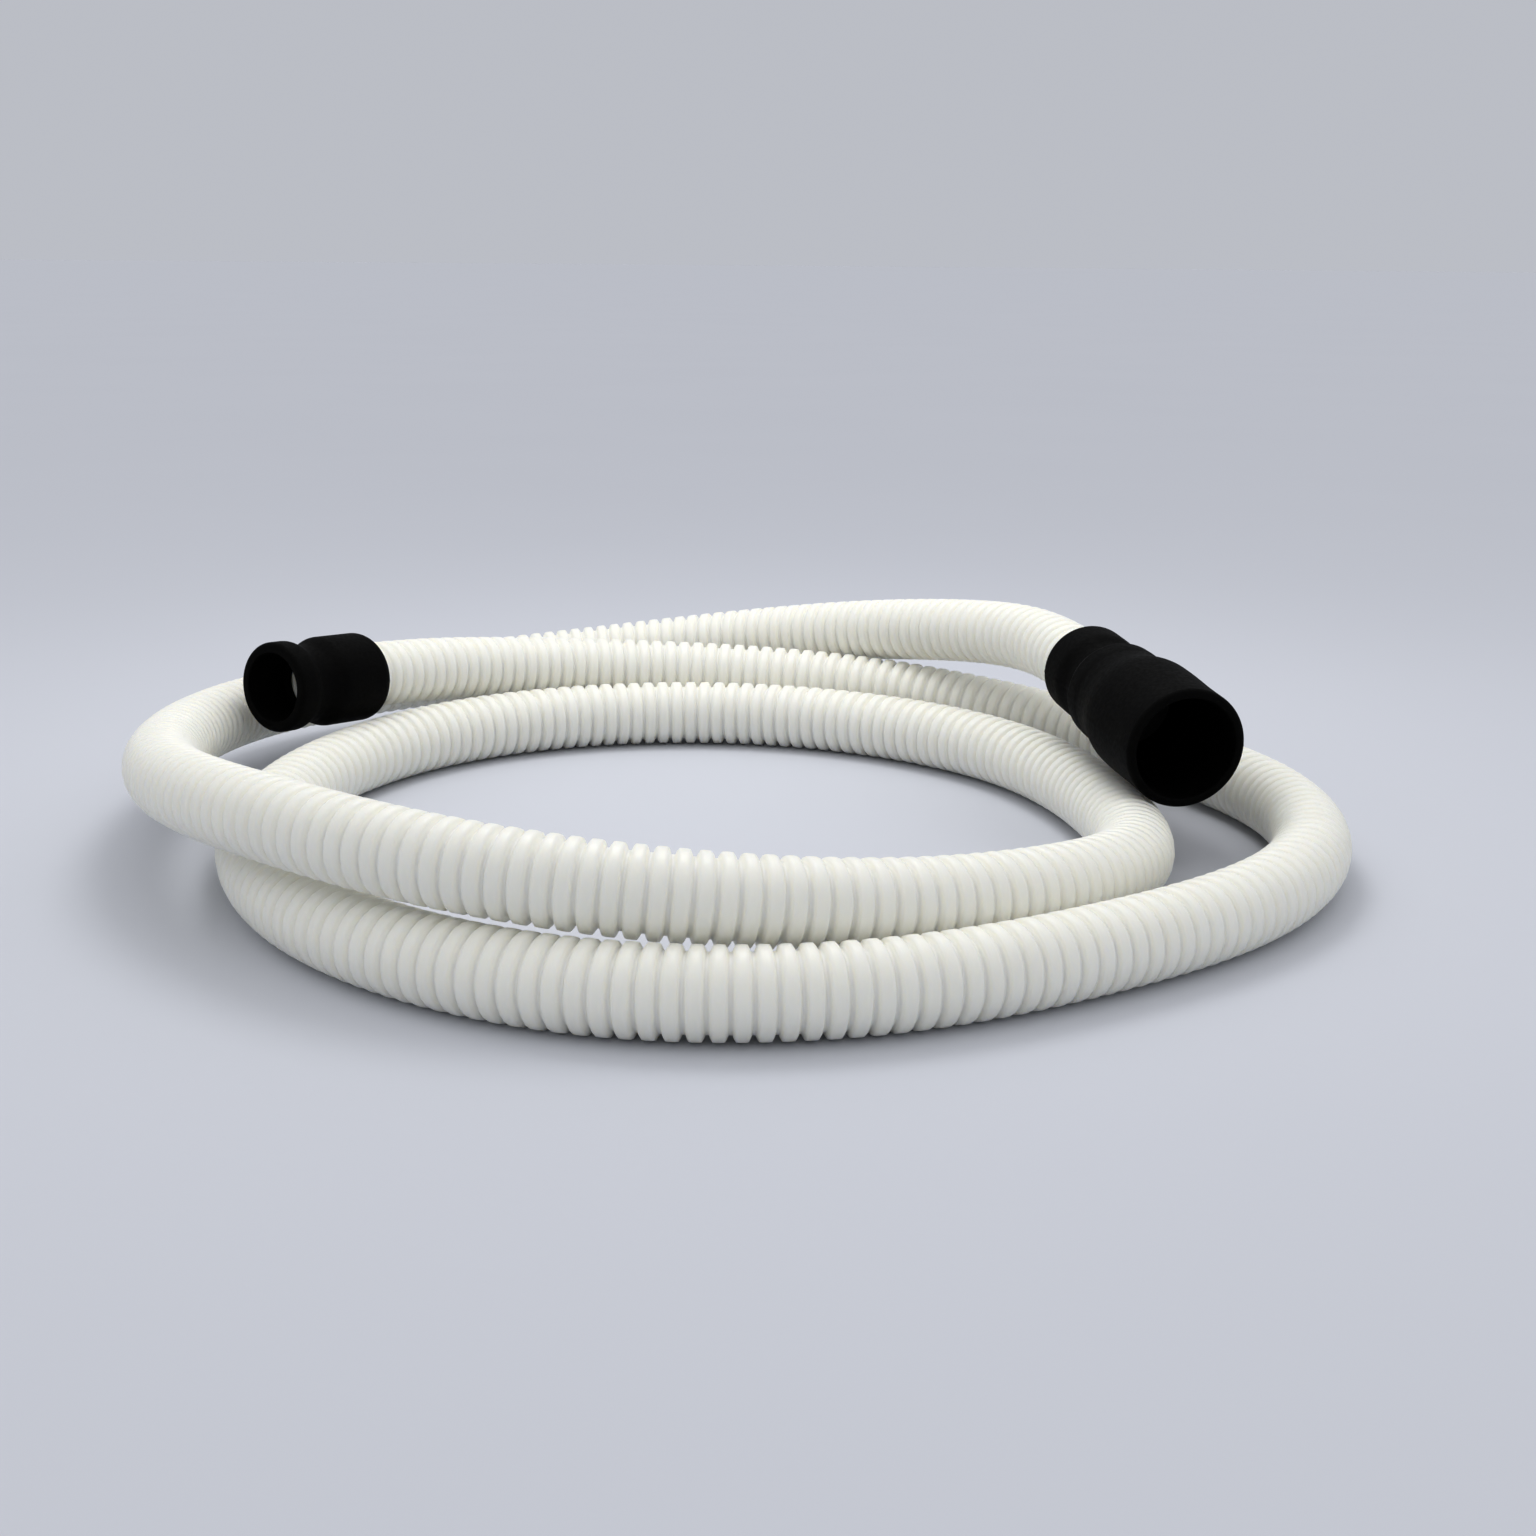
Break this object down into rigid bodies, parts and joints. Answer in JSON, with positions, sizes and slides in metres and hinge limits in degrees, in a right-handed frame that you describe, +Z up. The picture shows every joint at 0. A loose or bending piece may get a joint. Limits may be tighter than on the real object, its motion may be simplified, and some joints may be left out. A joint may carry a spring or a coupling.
{
  "type": "pool cleaner hose",
  "caption": "Coiled corrugated suction hose for a pool cleaner, with a plain cuff on one end and a wide swivel cuff on the other.",
  "frame": {"origin": "on the floor, under the middle of the coil's bounding box", "axes": "+Z up. +X to the right and +Y to the back, seen from the side where both cuffs' mouths open"},
  "size_m": [0.6221, 0.6045, 0.1007],
  "materials": {
    "hose_plastic": "satin ivory corrugated plastic",
    "cuff_rubber": "matte black moulded rubber",
    "bearing_plastic": "smooth black plastic",
    "seal_rubber": "satin black rubber"
  },
  "bodies": {
    "hose": {"corrugated_hose": "hose_plastic", "fixed_cuff": "cuff_rubber", "swivel_collar": "cuff_rubber", "swivel_bush": "bearing_plastic", "seal_ring": "seal_rubber", "thrust_ring": "bearing_plastic"},
    "swivel": {"swivel_cuff": "cuff_rubber"}
  },
  "joints": [
    {"name": "cuff_swivel", "type": "hinge", "parent": "hose", "child": "swivel", "pos_m": [0.198, 0.062, 0.076], "axis": [0.2071, -0.9744, -0.0872], "continuous": true}
  ]
}
